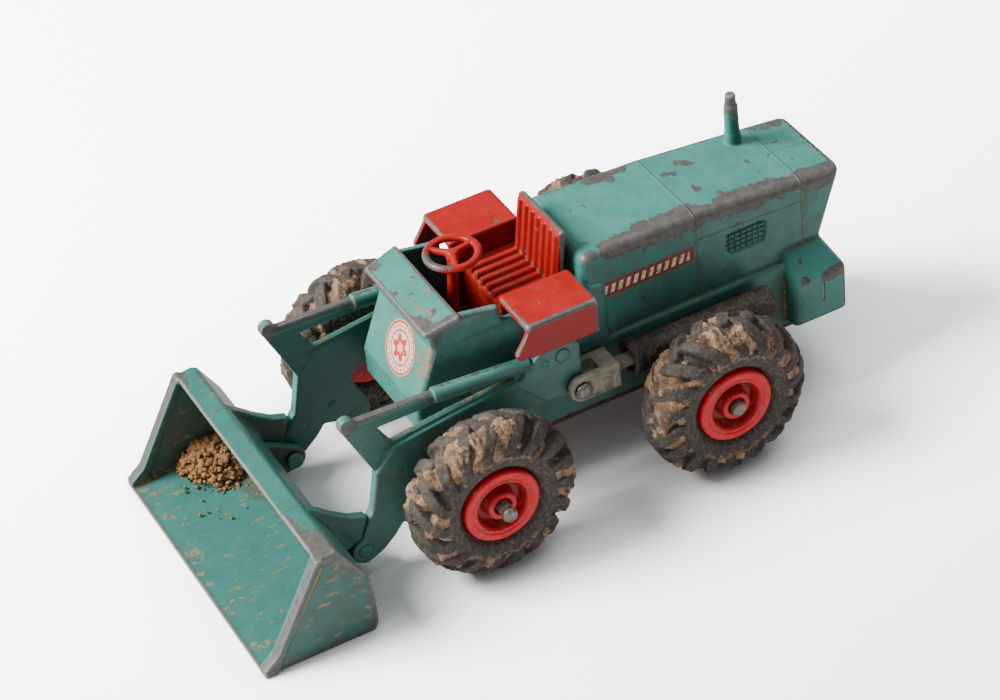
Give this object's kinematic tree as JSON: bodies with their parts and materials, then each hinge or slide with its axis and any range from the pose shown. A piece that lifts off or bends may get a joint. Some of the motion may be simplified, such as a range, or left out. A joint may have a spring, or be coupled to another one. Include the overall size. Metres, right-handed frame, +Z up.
{
  "type": "toy wheel loader",
  "caption": "Die-cast toy tractor shovel: lift arms on the cab sides, tipping bucket, loose lift rams, red seat and mudguard unit, and free-rolling wheels with rubber tyres.",
  "frame": {"origin": "on the ground, under the middle of the toy's length and width, with the bucket down", "axes": "+Z up, -Y to the front (bucket), +X to the toy's left"},
  "size_m": [0.0538, 0.104, 0.0419],
  "materials": {
    "teal_enamel": "worn gloss enamel on die-cast zinc",
    "red_enamel": "worn gloss enamel on die-cast zinc",
    "black_base": "black paint under dried mud",
    "bare_zinc": "bare die-cast zinc, dull",
    "steel": "tarnished steel wire",
    "red_plastic": "moulded, slightly dusty",
    "tyre_rubber": "chevron tread with dried mud"
  },
  "bodies": {
    "chassis": {"body_casting": "teal_enamel", "base_plate": "black_base", "base_rivet_front": "bare_zinc", "base_rivet_rear": "bare_zinc", "seat_unit": "red_enamel", "steering_wheel": "red_enamel", "ram_barrel_left": "black_base", "ram_barrel_right": "black_base", "lift_pin_left": "steel", "lift_pin_right": "steel", "front_axle": "steel", "rear_axle": "steel"},
    "lift_frame": {"lift_arm_left": "teal_enamel", "lift_arm_right": "teal_enamel", "bucket_pin_left": "steel", "bucket_pin_right": "steel", "ram_rivet_left": "bare_zinc", "ram_rivet_right": "bare_zinc"},
    "bucket": {"bucket": "teal_enamel"},
    "ram_left": {"ram_rod_left": "bare_zinc"},
    "ram_right": {"ram_rod_right": "bare_zinc"},
    "wheel_front_left": {"hub_front_left": "red_plastic", "tyre_front_left": "tyre_rubber"},
    "wheel_front_right": {"hub_front_right": "red_plastic", "tyre_front_right": "tyre_rubber"},
    "wheel_rear_left": {"hub_rear_left": "red_plastic", "tyre_rear_left": "tyre_rubber"},
    "wheel_rear_right": {"hub_rear_right": "red_plastic", "tyre_rear_right": "tyre_rubber"}
  },
  "joints": [
    {"name": "lift", "type": "hinge", "parent": "chassis", "child": "lift_frame", "pos_m": [0, 0.00231, 0.0245], "axis": [-1, 0, 0], "range_deg": [0, 38]},
    {"name": "bucket_tip", "type": "hinge", "parent": "lift_frame", "child": "bucket", "pos_m": [0, -0.03089, 0.0046], "axis": [1, 0, 0], "range_deg": [0, 55]},
    {"name": "ram_swing_left", "type": "hinge", "parent": "lift_frame", "child": "ram_left", "pos_m": [0.01275, 0.00421, 0.0184], "axis": [1, 0, 0], "range_deg": [0, 38]},
    {"name": "ram_swing_right", "type": "hinge", "parent": "lift_frame", "child": "ram_right", "pos_m": [-0.01275, 0.00421, 0.0184], "axis": [1, 0, 0], "range_deg": [0, 38]},
    {"name": "front_left_spin", "type": "hinge", "parent": "chassis", "child": "wheel_front_left", "pos_m": [0.02075, -0.01409, 0.0126], "axis": [1, 0, 0], "continuous": true},
    {"name": "front_right_spin", "type": "hinge", "parent": "chassis", "child": "wheel_front_right", "pos_m": [-0.02075, -0.01409, 0.0126], "axis": [1, 0, 0], "continuous": true},
    {"name": "rear_left_spin", "type": "hinge", "parent": "chassis", "child": "wheel_rear_left", "pos_m": [0.02075, 0.0234, 0.0126], "axis": [1, 0, 0], "continuous": true},
    {"name": "rear_right_spin", "type": "hinge", "parent": "chassis", "child": "wheel_rear_right", "pos_m": [-0.02075, 0.0234, 0.0126], "axis": [1, 0, 0], "continuous": true}
  ],
  "couplings": [
    {"joint": "ram_swing_left", "follows": "lift", "ratio": 1},
    {"joint": "ram_swing_right", "follows": "lift", "ratio": 1}
  ]
}
